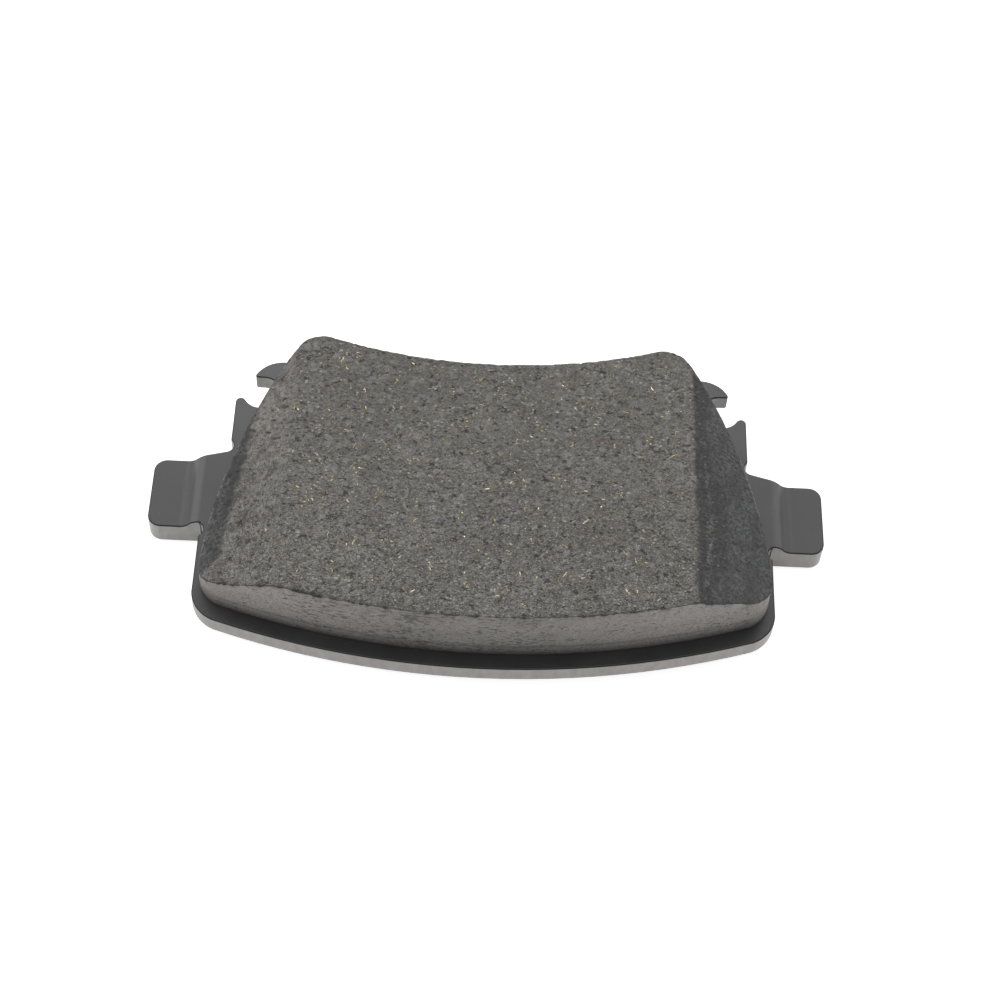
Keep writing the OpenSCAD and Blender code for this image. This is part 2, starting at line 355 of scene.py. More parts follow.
# %% Satin black paint
PAINT = {
    "front": (0.023, 0.023, 0.0235, 1),
    "back": (0.060, 0.061, 0.063, 1),
    "slope": (0.082, 0.082, 0.085, 1),
    "crest": (0.108, 0.108, 0.111, 1),
    "dust": (0.20, 0.20, 0.20, 1),
    "thin_and_reflected_low": (0.325, 0.312, 0.292, 1),
    "thin_and_reflected_high": (0.425, 0.408, 0.38, 1),
    "rim": (0.014, 0.014, 0.014, 1),
}
field = noises(tree, {
    "peel": ((0, 0, 0), EVEN, 0.7, 2.0),
    "cloud": ((0.3, 0.1, 0), EVEN, 9.0, 4.0),
    "dust": ((0.7, 0.2, 0), EVEN, 0.35, 1.0),
    "thin": ((0.2, 0.5, 0), (1, 1, 0.4), 1.1, 5.0, 0.65),
})
grey = tint(tree, between(tree, field["thin"], 0.3, 0.7), PAINT["thin_and_reflected_low"], PAINT["thin_and_reflected_high"])
painted = coats(
    tree, PAINT["front"],
    (at_back, PAINT["back"]),
    (between(tree, field["cloud"], 0.35, 0.7, stop=0.2), PAINT["back"]),
    (painted_slope_light, PAINT["slope"]),
    (painted_crest_highlight, PAINT["crest"]),
    (between(tree, field["dust"], 0.73, 0.80, stop=0.35), PAINT["dust"]),
    (on_edge, grey),
    (times(tree, painted_rim_shade, 0.8), PAINT["rim"]),
)
tree.links.new(painted, face["Base Color"])
tree.links.new(between(tree, field["cloud"], 0.3, 0.7, 0.36, 0.46), face["Roughness"])
# Less specular on the rim, so that its painted shade stays dark.
tree.links.new(between(tree, painted_rim_shade, 0.0, 1.0, 0.62, 0.2), face["Specular IOR Level"])
tree.links.new(bump(tree, field["peel"], 0.012, 0.5), face["Normal"])
plate.data.materials.append(paint)
print("finish:", paint.name)

# %% [markdown]
# ## Plan of the lining
# The lining is moulded in a die with a convex front, a concave back and two curved ends,
# all joined by round corners. Its plan could be drawn as one outline and filled, but a
# ground face with pits needs a regular net of points. So the outline is cut in the middle
# of its four corners into front, back, left and right lines, and a Coons patch fills
# them: each point is the blend of front and back, plus the blend of left and right, less
# the blend of the four corner points.

# %% Plan of the lining
front_mid, front_radius = np.array([0.0, 102.5]), 127.7
back_mid, back_radius = np.array([0.0, 106.998]), 86.15
end_mid, end_radius = np.array([-31.7, -18.9]), 75.0
front_corner, back_corner = 4.9, 4.5


def bearing(start, stop):
    """Direction in degrees of the line between two points."""
    return np.degrees(np.arctan2(*(stop - start)[::-1]))


def circles_meet(c1, r1, c2, r2):
    """The crossing of two circles, on the right of the way from the first to the second.
    The law of cosines gives the angle at the first centre."""
    d = np.linalg.norm(c2 - c1)
    at_first = np.arccos((d * d + r1 * r1 - r2 * r2) / (2 * d * r1))
    angle = np.radians(bearing(c1, c2)) - at_first
    return c1 + r1 * np.array([np.cos(angle), np.sin(angle)])


def arc(centre, radius, start, stop, count=200):
    """A circle's points: the centre plus the radius times the cosine and sine of an angle
    that runs evenly from start to stop, in degrees."""
    angle = np.radians(np.linspace(start, stop, count))
    return centre + radius * np.column_stack([np.cos(angle), np.sin(angle)])


def even_steps(parts, count):
    """The joined parts with points at equal steps: length along the line is summed up,
    and x and y are read off at equal shares of it."""
    line = np.concatenate(parts)
    run = np.append(0, np.cumsum(np.linalg.norm(np.diff(line, axis=0), axis=1)))
    stops = np.linspace(0, run[-1], count)
    return np.column_stack([np.interp(stops, run, line[:, k]) for k in (X, Y)])


print("outline tools: bearing, circles_meet, arc and even_steps")

# %% [markdown]
# Each round corner touches the two arcs that it joins. So its middle is where those two
# arcs cross once both are moved in by the corner's radius. The left end is a mirror image.

# %% Net of the lining
MIRROR = np.array([-1.0, 1.0])
across, deep = 336, 188
front_corner_mid = circles_meet(
    end_mid, end_radius - front_corner, front_mid, front_radius - front_corner
)
back_corner_mid = circles_meet(
    end_mid, end_radius - back_corner, back_mid, back_radius + back_corner
)
a_front, a_end = bearing(front_mid, front_corner_mid), bearing(end_mid, front_corner_mid)
b_end, b_back = bearing(end_mid, back_corner_mid), bearing(back_corner_mid, back_mid)
a_half, b_half = (a_front + a_end) / 2, (b_end + b_back) / 2
half_front = np.concatenate([
    arc(front_mid, front_radius, -90, a_front),
    arc(front_corner_mid, front_corner, a_front, a_half),
])
half_back = np.concatenate([
    arc(back_mid, back_radius, -90, b_back - 180),
    arc(back_corner_mid, back_corner, b_back, b_half),
])
right_end = [
    arc(front_corner_mid, front_corner, a_half, a_end),
    arc(end_mid, end_radius, a_end, b_end),
    arc(back_corner_mid, back_corner, b_end, b_half),
]
front_line = even_steps([half_front[::-1] * MIRROR, half_front], across)
back_line = even_steps([half_back[::-1] * MIRROR, half_back], across)
right_line = even_steps(right_end, deep)
left_line = right_line * MIRROR
u, v = np.meshgrid(np.linspace(0, 1, across), np.linspace(0, 1, deep))


def coons_patch(front, back, left, right, u, v):
    """Front and back blended by v, plus left and right blended by u, less the four corner
    points blended by both."""
    u, v = u[..., None], v[..., None]
    corners = (1 - u) * (1 - v) * front[0] + u * (1 - v) * front[-1]
    corners = corners + (1 - u) * v * back[0] + u * v * back[-1]
    sides = (1 - u) * left[:, None] + u * right[:, None]
    return (1 - v) * front[None] + v * back[None] + sides - corners


plan = coons_patch(front_line, back_line, left_line, right_line, u, v)
plan_size = np.ptp(plan.reshape(-1, 2), axis=0)
print("lining plan:", plan.shape[:2], "points,", np.round(plan_size, 2), "mm")

# %% [markdown]
# ## Relief of the ground face
# After moulding, the face and its two end chamfers are ground. Grinding tears grains and
# fibre ends out of the compound, so the face is full of small pits and its edges crumble.
# Bump in the shader alone would leave the edges knife-sharp, so the larger pits and chips
# are real heights here. Two random fields do it: smooth noise on a lattice, and pits, at
# most one in each lattice cell.

# %% Random fields
TABLE = 512
pit_least, pit_range = 0.12, 0.38


def lattice(x, y, size, seed):
    """Cell numbers and the place inside the cell, with one table of random numbers."""
    i, j = np.floor(x / size).astype(int), np.floor(y / size).astype(int)
    table = np.random.default_rng(seed).random((4, TABLE, TABLE))
    return i, j, x / size - i, y / size - j, table


def soft_noise(x, y, size, seed):
    """Random heights from -1 to 1 at lattice points, blended in between by 3t^2 - 2t^3."""
    i, j, s, t, table = lattice(x, y, size, seed)
    s, t = s * s * (3 - 2 * s), t * t * (3 - 2 * t)
    near = [[table[0][(i + a) % TABLE, (j + b) % TABLE] for b in (0, 1)] for a in (0, 1)]
    low = near[0][0] * (1 - s) + near[1][0] * s
    high = near[0][1] * (1 - s) + near[1][1] * s
    return 2 * (low * (1 - t) + high * t) - 1


def pits(x, y, size, share, seed):
    """Depths from 0 to 1. A share of the cells holds one pit at a random place, of random
    width, and its depth is (1 - d^2)^2 with d the distance over the pit's radius."""
    i, j, s, t, table = lattice(x, y, size, seed)
    depth = np.zeros_like(x)
    for a, b in np.ndindex(3, 3):
        at = ((i + a - 1) % TABLE, (j + b - 1) % TABLE)
        px, py = table[0][at] + a - 1 - s, table[1][at] + b - 1 - t
        radius = pit_least + pit_range * table[2][at] ** 2
        d2 = np.minimum((px * px + py * py) / radius ** 2, 1)
        depth = np.maximum(depth, (1 - d2) ** 2 * (table[3][at] < share))
    return depth


def mixed(x, y, *rows):
    """Soft noises added up. Each row is a height, the size of the lumps and a seed."""
    return sum(height * soft_noise(x, y, size, seed) for height, size, seed in rows)


def ramp(value, low, high):
    """0 below low, 1 above high, and 3t^2 - 2t^3 in between."""
    t = np.clip((value - low) / (high - low), 0, 1)
    return t * t * (3 - 2 * t)


def lower_of(a, b, soft):
    """The lower of two heights, with the corner between them rounded over a width soft."""
    h = np.maximum(soft - np.abs(a - b), 0) / soft
    return np.minimum(a, b) - h * h * soft / 4


print("random fields: soft_noise, pits and mixed; steps: ramp and lower_of")

# %% [markdown]
# The height of the face is then one function of x and y, which the brass needs as well.
# Lengths are in millimetres. A row of lumps is a height, a size and a seed, and a row of
# holes is a depth, a cell size, the share of cells that hold a pit, and a seed.

# %% Relief of the ground face
face_z, foot_z = 17.2, 8.4
face_half, right_crease = 30.8, 31.15
left_slope, right_slope = np.tan(np.radians([29.0, 22.0]))
left_round, right_round = 0.5, 0.25
right_finer, left_coarser = 0.65, 0.5
left_lift, corner_lift, skim = 0.2, 0.5, 0.03
LUMPS = [(0.035, 2.6, 3), (0.04, 0.62, 5)]
HOLES = [(0.20, 1.5, 0.55, 7), (0.10, 0.8, 0.6, 9)]


def ground_height(x, y):
    """Height of the ground face: the flat face and both chamfers, less lumps and pits.
    The right chamfer was ground finer, so its relief is about a third, and the left one
    was torn, so its relief is half as much again. The left one is lifted by the mean of
    it, and its front corner by a little more, because it is less worn."""
    z = lower_of(face_z + 0 * x, face_z - (-x - face_half) * left_slope, left_round)
    z = lower_of(z, face_z - (x - right_crease) * right_slope, right_round)
    coarse = 1 - right_finer * ramp(x, face_half - 0.3, face_half + 0.4)
    coarse = coarse + left_coarser * ramp(-x, face_half - 2, face_half + 1)
    lumps = sum(h * (1 + soft_noise(x, y, size, seed)) for h, size, seed in LUMPS)
    holes = sum(h * pits(x, y, size, share, seed) for h, size, share, seed in HOLES)
    lift = left_lift * ramp(-x, face_half + 0.5, face_half + 2.5)
    lift = lift + corner_lift * ramp(-x, 36, 41) * ramp(-y, 12, 19)
    return z + lift - skim - coarse * (lumps + holes)


lining_w, lining_h = 88, 44
rim_drop, chip_depth, rim_width = 0.05, 0.32, 0.32
chip_start, fine_chips, back_calm = 0.05, 0.8, 0.65
x, y = plan[..., X], plan[..., Y]
rim = np.minimum(np.minimum(u, 1 - u) * lining_w, np.minimum(v, 1 - v) * lining_h)
chips = np.maximum(soft_noise(x, y, 1.1, 11) - chip_start, 0)
chips = chips + fine_chips * np.maximum(soft_noise(x, y, 0.5, 13), 0)
chips = chips * (1 - back_calm * ramp(y, 8, 20))
top = ground_height(x, y) - (rim_drop + chip_depth * chips) * np.exp(-rim / rim_width)
print("ground face: heights from", round(top.min(), 2), "to", round(top.max(), 2), "mm")

# %% [markdown]
# ## The friction block
# The block's walls are moulded, so they are smoother than its face, but they follow the
# crumbled rim at the top. The wall is a profile carried along the rim: every row is the
# rim's own line at a lower height, moved in by a little noise. A last face closes the
# foot, where the block grows out of the underlayer.

# %% Wall of the block
wall_rows, wall_crowding, foot_hold = 15, 1.3, 6
rim_step = 0.26
dent_depth, wall_pit_depth = 0.05, 0.10


def rim_of(grid):
    """The border of a grid of points, once round, counter-clockwise from the front left."""
    return np.concatenate([grid[0, :-1], grid[:-1, -1], grid[-1, :0:-1], grid[:0:-1, 0]])


def grid_faces(index):
    """Quads of a grid of point numbers: each point with its right, upper right and upper
    neighbour."""
    corners = index[:-1, :-1], index[:-1, 1:], index[1:, 1:], index[1:, :-1]
    return np.stack(corners, axis=-1).reshape(-1, 4)


face_points = np.dstack([plan, top])
face_numbers = np.arange(across * deep).reshape(deep, across)
border = rim_of(face_points)
ahead_step = np.roll(border, -1, 0)[:, :2] - np.roll(border, 1, 0)[:, :2]
outward = np.column_stack([ahead_step[:, Y], -ahead_step[:, X]])
outward /= np.linalg.norm(outward, axis=1)[:, None]
fall = np.linspace(0, 1, wall_rows + 1)[1:, None] ** wall_crowding
wall_z = border[:, Z] * (1 - fall) + foot_z * fall
run = np.arange(len(border)) * rim_step + 0 * wall_z
dents = dent_depth * (1 + soft_noise(run, 2.2 * wall_z, 2.4, 17))
dents = dents + wall_pit_depth * pits(run, 3.0 * wall_z, 2.2, 0.4, 19)
wall = np.empty((wall_rows, len(border), 3))
inset = (dents * (1 - fall ** foot_hold))[..., None]
wall[..., :2] = border[None, :, :2] - outward[None] * inset
wall[..., Z] = wall_z
points = np.concatenate([face_points.reshape(-1, 3), wall.reshape(-1, 3)])
wall_numbers = face_numbers.size + np.arange(wall.size // 3).reshape(wall_rows, -1)
rows = np.vstack([rim_of(face_numbers), wall_numbers])
rows = np.column_stack([rows, rows[:, 0]])
quads = np.concatenate([grid_faces(face_numbers), grid_faces(rows)[:, ::-1]])
print("wall:", wall_rows, "rows of", len(border), "points")

# %% [markdown]
# The finish has to know where it is on the block, so the mesh carries a few numbers at
# each point: where the skin of the wall is, where the rim has crumbled and gets a painted
# shade, where the right chamfer and its darker strip are, where the smooth band along the
# left end is, and where the chamfers were scuffed. Each is a soft step, with its border
# moved about by noise.

# %% Numbers for the finish
def scuff(x, y, start, stop, width):
    """A rubbed streak: 1 on the line between two points, falling off as a bell curve of
    the distance to the line's nearest point."""
    run = np.subtract(stop, start)
    share = np.clip(((x - start[X]) * run[X] + (y - start[Y]) * run[Y]) / (run @ run), 0, 1)
    gap = np.hypot(x - start[X] - share * run[X], y - start[Y] - share * run[Y])
    return np.exp(-(gap / width) ** 2)


crumb_reach, wall_reach, right_calm = 0.38, 0.35, 0.5
strip_mm, strip_bulge, band_mm = 2.6, 2.5, 3.2
px, py = points[:, X], points[:, Y]
skin = np.append(np.zeros(face_numbers.size), np.ones(wall.size // 3))
rim_chips = rim_of(chips)[None] * np.exp(-(border[None, :, Z] - wall_z) / wall_reach)
# Painted shade: the crumbled rim is darkened, and so is the wall below its chips.
crumbled_and_shaded = np.append(np.exp(-rim / crumb_reach) * (0.3 + 1.4 * chips), 1.7 * rim_chips)
crumbled_and_shaded = crumbled_and_shaded * (1 - right_calm * ramp(px, -16, 10))
wobble = mixed(px, py, (0.7, 1.9, 23), (0.45, 0.6, 25))
left_reach = end_radius - np.hypot(px - end_mid[X] * MIRROR[X], py - end_mid[Y])
right_reach = end_radius - np.hypot(px - end_mid[X], py - end_mid[Y])
chamfer_share = ramp(px + 0.45 * wobble, right_crease - 0.1, right_crease + 0.5)
strip_edge = face_half + strip_mm + strip_bulge * ramp(py, -17, -12) * ramp(-py, -5, 1)
strip_share = ramp(1.6 * wobble + strip_edge - px, -0.9, 0.9) * (px > face_half - 0.5)
band_width = band_mm * ramp(py, -17.5, -14) * ramp(-py, -13.5, 1)
band_share = ramp(band_width - left_reach + 0.8 * wobble, -0.3, 0.5)
band_share = band_share * (band_width > 0.1) * (px < 0)
print("places on the block: rim, right chamfer, strip and left band")

# %% [markdown]
# The scuffs are two streaks down the right chamfer, and a rubbed stretch along each end.

# %% Friction block
scuff_top, scuff_bend, scuff_foot = (33.2, 2.5), (33.9, -5.1), (32.6, -18.0)
end_rub = 0.3
streak_x = px + mixed(px, py, (0.35, 2.6, 27), (0.2, 0.7, 31))
breaks = ramp(mixed(px, py, (1.0, 1.7, 33), (0.6, 0.6, 35)), -0.6, 0.2)
lower_streak = (0.45 + 0.55 * breaks) * scuff(streak_x, py, scuff_bend, scuff_foot, 0.30)
upper_streak = 0.4 * breaks * scuff(streak_x, py, scuff_top, scuff_bend, 0.25)
right_rub = np.exp(-(right_reach / end_rub) ** 2) * (px > 0)
right_rub = right_rub * ramp(py, -4, -1) * ramp(-py, -7, -4)
left_rub = breaks * np.exp(-(left_reach / end_rub) ** 2) * (px < 0)
left_rub = left_rub * ramp(py, -15, -11) * ramp(-py, -5, 0)
rubbed = np.max([lower_streak, upper_streak, right_rub, left_rub], axis=0)
numbers = {
    "skin": skin,
    "crumbled_and_shaded": np.clip(crumbled_and_shaded, 0, 1),
    "right_chamfer": chamfer_share * (1 - skin),
    "right_strip": strip_share,
    "left_band": band_share * (1 - skin),
    "rubbed": rubbed * (1 - skin),
}


def carry(mesh, label, values):
    """Writes one number for each point of a mesh, under a label that a finish can read."""
    attribute = mesh.attributes.new(label, "FLOAT", "POINT")
    attribute.data.foreach_set("value", values.astype(np.float32))


def new_piece(name, points_mm, quads, closing=(), numbers=None):
    """A mesh object from points in mm, smooth quads and flat closing faces, with its own
    numbers."""
    mesh = bpy.data.meshes.new(name)
    faces = quads.tolist() + [list(corners) for corners in closing]
    mesh.from_pydata((points_mm * MM).tolist(), [], faces)
    mesh.polygons.foreach_set("use_smooth", np.arange(len(faces)) < len(quads))
    for label, values in (numbers or {}).items():
        carry(mesh, label, values)
    mesh.validate()
    piece = bpy.data.objects.new(name, mesh)
    scene.collection.objects.link(piece)
    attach(piece, "root")
    return piece


block = new_piece("friction_compound", points, quads, [rows[-1, :-1][::-1]], numbers)
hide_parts("friction_block")
print("friction block:", len(points), "points,", len(quads), "quads")

# %% [markdown]
# ## Friction compound
# The compound is resin, mineral powder and short fibres, pressed hot. Ground open, it is a
# brown-grey felt of pale fibres and dark pits, with softer grey patches. Pale fibres are
# drawn as contour lines: where a noise passes through its middle value it leaves a thin
# curved line, and a second noise breaks that line into short pieces. Dark pits are the
# low places of another noise, so they come in ragged shapes and not as round dots.

# %% Fibres and flakes
compound, tree, face = new_finish("friction_compound")


def fibres(tree, offset, size_mm, width):
    """Short curved lines: noise close to its middle value, broken up by a second noise."""
    wave = noise(tree, on_piece(tree, offset, (0.8, 1, 1)), size_mm, 0.0)
    line = fades(tree, gap_to(tree, wave, 0.5), 0.25 * width, width)
    gaps = noise(tree, on_piece(tree, (offset[Y] + 0.4, offset[X], 0)), 0.8 * size_mm, 0.0)
    return times(tree, line, between(tree, gaps, 0.50, 0.60))


def flakes(tree, offset, size_mm, share, reach):
    """Flat grains: cells of a Voronoi pattern with ragged borders. A share of the cells,
    picked by the cell's random colour, is 1 out to a reach from the cell's middle."""
    size = size_mm * MM
    sway = put(tree, "TexNoise", {"Vector": on_piece(tree), "Scale": 2 / size}, "Color")
    at = put(tree, "VectorMath", {
        0: sway, 1: (0.5 * size,) * 3, 2: on_piece(tree, offset, (0.75, 1, 1)),
    }, operation="MULTIPLY_ADD")
    from_mid = put(
        tree, "TexVoronoi", {"Vector": at, "Scale": 1 / size}, "Distance",
        voronoi_dimensions="2D",
    )
    lot = put(tree, "SeparateXYZ", {0: from_mid.node.outputs["Color"]}, X)
    picked = between(tree, lot, 1 - share, 1.02 - share)
    return times(tree, picked, fades(tree, from_mid, 0.6 * reach, reach))


fibre = calc(
    tree, "MAXIMUM",
    fibres(tree, (0.1, 0.2, 0), size_mm=0.75, width=0.085),
    fibres(tree, (0.5, 0.8, 0), size_mm=0.5, width=0.085),
)
curls = fibres(tree, (0.7, 0.3, 0), size_mm=0.42, width=0.09)
slabs = flakes(tree, (0.3, 0.7, 0), size_mm=1.15, share=0.22, reach=0.45)
specks = calc(
    tree, "MAXIMUM",
    flakes(tree, (0.8, 0.1, 0), size_mm=0.40, share=0.07, reach=0.45),
    flakes(tree, (0.2, 0.4, 0), size_mm=0.75, share=0.05, reach=0.30),
)
print("grains: fibres, curls, slabs and specks")

# %% [markdown]
# Everything else in the felt is plain noise. The grit is stronger towards the front, the
# left chamfer is hairy and has no specks, and a painted highlight lightens its back part.

# %% Fields of the ground face
WIDE = (0.72, 1.05, 1)
field = noises(tree, {
    "felt": ((0, 0, 0), WIDE, 0.42, 6.0, 0.75),
    "patch": ((0.15, 0.35, 0), EVEN, 2.6, 3.0),
    "grit": ((0.25, 0.75, 0), WIDE, 0.2, 1.0),
    "broad": ((0.45, 0.05, 0), EVEN, 11.0, 2.0),
    "torn": ((0.3, 0.3, 0), (0.75, 1, 1), 0.7, 3.0, 0.6),
    "warm": ((0.65, 0.15, 0), EVEN, 1.9, 2.0),
    "cool": ((0.05, 0.65, 0), EVEN, 1.5, 2.0),
    "gather": ((0.95, 0.35, 0), EVEN, 3.2, 2.0),
    "hair": ((0.85, 0.55, 0), (1, 0.3, 1), 0.34, 2.0),
    "clumps": ((0.15, 0.85, 0), EVEN, 2.8, 2.0, 0.6),
})
felt = field["felt"]
front_side = between(tree, coordinate(tree, Y), -24 * MM, 18 * MM, 1.0, 0.3)
back_side = between(tree, coordinate(tree, Y), -4 * MM, 12 * MM)
on_left = fades(tree, coordinate(tree, X), -32.5 * MM, -30 * MM)
on_face = calc(tree, "SUBTRACT", 1.0, on_left)
gathered = between(tree, field["gather"], 0.38, 0.62, 0.15, 1.0)
specks = times(tree, times(tree, specks, gathered), on_face)
dark = fades(tree, field["torn"], 0.32, 0.41)
# Painted highlight on the back of the left chamfer.
painted_chamfer_highlight = times(tree, back_side, on_left)
painted_chamfer_highlight = times(tree, painted_chamfer_highlight, between(tree, felt, 0.40, 0.60, 0.1, 0.65))
hairy = times(tree, between(tree, field["hair"], 0.52, 0.66, stop=0.7), on_left)
clumped = times(tree, fades(tree, field["clumps"], 0.36, 0.52, 0.5), on_left)
pale_grit = times(tree, between(tree, field["grit"], 0.60, 0.72, stop=0.9), front_side)
dark_grit = times(tree, fades(tree, field["grit"], 0.28, 0.42, 0.9), front_side)
print("fields:", ", ".join(field))

# %% [markdown]
# The ground face is these layers, one over the other: first the broad changes of tone,
# then fibres, grains and grit, and last the pits and the painted shade along the crumbled
# rim, which are darkest.

# %% Ground face
GROUND = {
    "felt_low": (0.060, 0.055, 0.049, 1),
    "felt_high": (0.280, 0.266, 0.245, 1),
    "broad": (0.092, 0.084, 0.076, 1),
    "patch": (0.230, 0.230, 0.228, 1),
    "warm": (0.158, 0.128, 0.112, 1),
    "cool": (0.120, 0.130, 0.112, 1),
    "fibre": (0.44, 0.43, 0.41, 1),
    "slab": (0.30, 0.305, 0.31, 1),
    "brassy": (0.235, 0.212, 0.135, 1),
    "speck": (0.58, 0.56, 0.50, 1),
    "hair": (0.36, 0.326, 0.306, 1),
    "painted_chamfer_highlight": (0.36, 0.335, 0.312, 1),
    "clump": (0.056, 0.049, 0.045, 1),
    "pale_grit": (0.50, 0.48, 0.445, 1),
    "dark_grit": (0.040, 0.037, 0.033, 1),
    "curl": (0.46, 0.44, 0.41, 1),
    "torn": (0.040, 0.036, 0.032, 1),
    "crumbled_and_shaded": (0.024, 0.022, 0.020, 1),
}
ground = tint(tree, between(tree, felt, 0.33, 0.67), GROUND["felt_low"], GROUND["felt_high"])
ground = coats(
    tree, ground,
    (fades(tree, field["broad"], 0.36, 0.60, 0.40), GROUND["broad"]),
    (between(tree, field["patch"], 0.53, 0.70, stop=0.46), GROUND["patch"]),
    (between(tree, field["warm"], 0.50, 0.66, stop=0.35), GROUND["warm"]),
    (between(tree, field["cool"], 0.50, 0.66, stop=0.35), GROUND["cool"]),
    (times(tree, fibre, 0.32), GROUND["fibre"]),
    (times(tree, slabs, 0.5), GROUND["slab"]),
    (times(tree, own(tree, "brassy"), 0.45), GROUND["brassy"]),
    (times(tree, specks, 0.7), GROUND["speck"]),
    (hairy, GROUND["hair"]),
    (painted_chamfer_highlight, GROUND["painted_chamfer_highlight"]),
    (clumped, GROUND["clump"]),
    (pale_grit, GROUND["pale_grit"]),
    (dark_grit, GROUND["dark_grit"]),
    (times(tree, times(tree, curls, front_side), 0.24), GROUND["curl"]),
    (times(tree, dark, 0.82), GROUND["torn"]),
    (own(tree, "crumbled_and_shaded"), GROUND["crumbled_and_shaded"]),
)
print("ground face:", len(GROUND), "colours in layers")

# %% [markdown]
# ## Chamfer and band
# The right chamfer was cut with a finer wheel, and the band along the left end is smooth.
# Both are darker and more even than the face. The right chamfer has small pits, one darker
# strip beside the face, and pale scuffs.

# %% Chamfer and band
SLOPE = {
    "low": (0.030, 0.030, 0.0305, 1),
    "high": (0.130, 0.131, 0.133, 1),
    "smudge": (0.034, 0.034, 0.034, 1),
    "pock": (0.012, 0.012, 0.012, 1),
    "strip_low": (0.005, 0.005, 0.005, 1),
    "strip_high": (0.079, 0.077, 0.075, 1),
    "strip_speck": (0.40, 0.39, 0.37, 1),
    "scuff": (0.30, 0.30, 0.295, 1),
    "band_low": (0.006, 0.006, 0.006, 1),
    "band_high": (0.104, 0.102, 0.100, 1),
    "band_smudge": (0.018, 0.018, 0.019, 1),
}
field = noises(tree, {
    "fine": ((0.9, 0.4, 0), EVEN, 0.5, 5.0, 0.7),
    "smudge": ((0.35, 0.9, 0), (1, 0.6, 1), 2.4, 3.0, 0.6),
    "pocks": ((0.55, 0.25, 0), EVEN, 0.65, 1.0),
})
strip = tint(tree, between(tree, felt, 0.36, 0.68), SLOPE["strip_low"], SLOPE["strip_high"])
strip = tint(tree, times(tree, specks, 0.5), strip, SLOPE["strip_speck"])
scuffed = times(tree, own(tree, "rubbed"), between(tree, felt, 0.42, 0.60))
slope = coats(
    tree, tint(tree, between(tree, field["fine"], 0.37, 0.64), SLOPE["low"], SLOPE["high"]),
    (fades(tree, field["smudge"], 0.38, 0.60, 0.55), SLOPE["smudge"]),
    (fades(tree, field["pocks"], 0.30, 0.35, 0.9), SLOPE["pock"]),
    (times(tree, own(tree, "right_strip"), 0.9), strip),
    (times(tree, scuffed, 0.85), SLOPE["scuff"]),
)
band_grain = between(tree, field["fine"], 0.38, 0.62)
band = coats(
    tree, tint(tree, band_grain, SLOPE["band_low"], SLOPE["band_high"]),
    (fades(tree, field["smudge"], 0.38, 0.58, 0.85), SLOPE["band_smudge"]),
    (times(tree, scuffed, 0.7), SLOPE["scuff"]),
)
print("chamfer and band: fine grain, strip, pits and scuffs")

# %% [markdown]
# ## Moulded wall
# The walls were pressed against the die, so they keep a smooth resin skin that is paler
# and pinker than the ground face, with short dark tears along the pressing layers. Paint
# sprayed at the plate drifted up over the foot of the wall, and a painted shade lies there
# too; together they thin out from about half its height. The underlayer has the same skin,
# mist and painted shade, so both share these two steps.

# %% Moulded skin
SKIN = {
    "low": (0.302, 0.284, 0.267, 1),
    "high": (0.369, 0.349, 0.328, 1),
    "end": (0.460, 0.432, 0.407, 1),
    "speck": (0.155, 0.145, 0.136, 1),
    "tear": (0.060, 0.055, 0.051, 1),
    "mist": (0.014, 0.0138, 0.0135, 1),
    "crumbled_and_shaded": (0.030, 0.028, 0.026, 1),
}


def moulded_skin(tree):
    """Pale resin, greyer in the middle of the pad, with tears that are long and flat and
    lie mostly in its left half. Noise is stretched along z, which flattens it. Gives the
    colour and the noise of the layers."""
    field = noises(tree, {
        "cloudy": ((0.1, 0, 0), EVEN, 3.5, 4.0, 0.6),
        "speck": ((0.6, 0.9, 0), (1, 1, 1.6), 0.3, 2.0),
        "layers": ((0.2, 0.6, 0), (1, 1, 2.6), 1.15, 6.0, 0.72),
        "worn": ((0.7, 0.1, 0), EVEN, 6.0, 2.0),
    })
    sideways = coordinate(tree, X)
    to_end = between(tree, calc(tree, "ABSOLUTE", sideways), 8 * MM, 36 * MM, stop=0.85)
    tears = calc(tree, "ADD", field["layers"], fades(tree, sideways, 4 * MM, 24 * MM, 0.045))
    far_left = fades(tree, sideways, -38 * MM, -22 * MM, 0.06)
    tears = calc(tree, "SUBTRACT", tears, far_left)
    tears = calc(tree, "ADD", tears, times(tree, field["worn"], 0.22))
    resin = tint(tree, between(tree, field["cloudy"], 0.3, 0.7), SKIN["low"], SKIN["high"])
    resin = coats(
        tree, resin,
        (to_end, SKIN["end"]),
        (fades(tree, field["speck"], 0.38, 0.60, 0.6), SKIN["speck"]),
        (between(tree, tears, 0.655, 0.76, stop=0.8), SKIN["tear"]),
    )
    return resin, field["layers"]


def mist_and_painted_shade(tree, colour, ragged):
    """Black paint mist and painted shade over a colour: full at the foot, thin from half way
    up, a little ragged.
    """
    stray = times(tree, calc(tree, "SUBTRACT", ragged, 0.5), 1.2 * MM)
    height = calc(tree, "ADD", coordinate(tree, Z), stray)
    return coats(
        tree, colour,
        # Both layers are paint mist with painted shade from the ledge below.
        (fades(tree, height, 11.0 * MM, 13.6 * MM, 0.16), SKIN["mist"]),
        (fades(tree, height, 4.4 * MM, 10.6 * MM), SKIN["mist"]),
    )


moulded, layers = moulded_skin(tree)
moulded = mist_and_painted_shade(tree, moulded, layers)
# Painted shade below the crumbled rim.
moulded = tint(tree, own(tree, "crumbled_and_shaded"), moulded, SKIN["crumbled_and_shaded"])
print("moulded skin:", len(SKIN), "colours")

# %% [markdown]
# Now the block's one material can be put together. The numbers on the mesh say which of
# the four surfaces shows, and the even ones are smoother and have less bump.

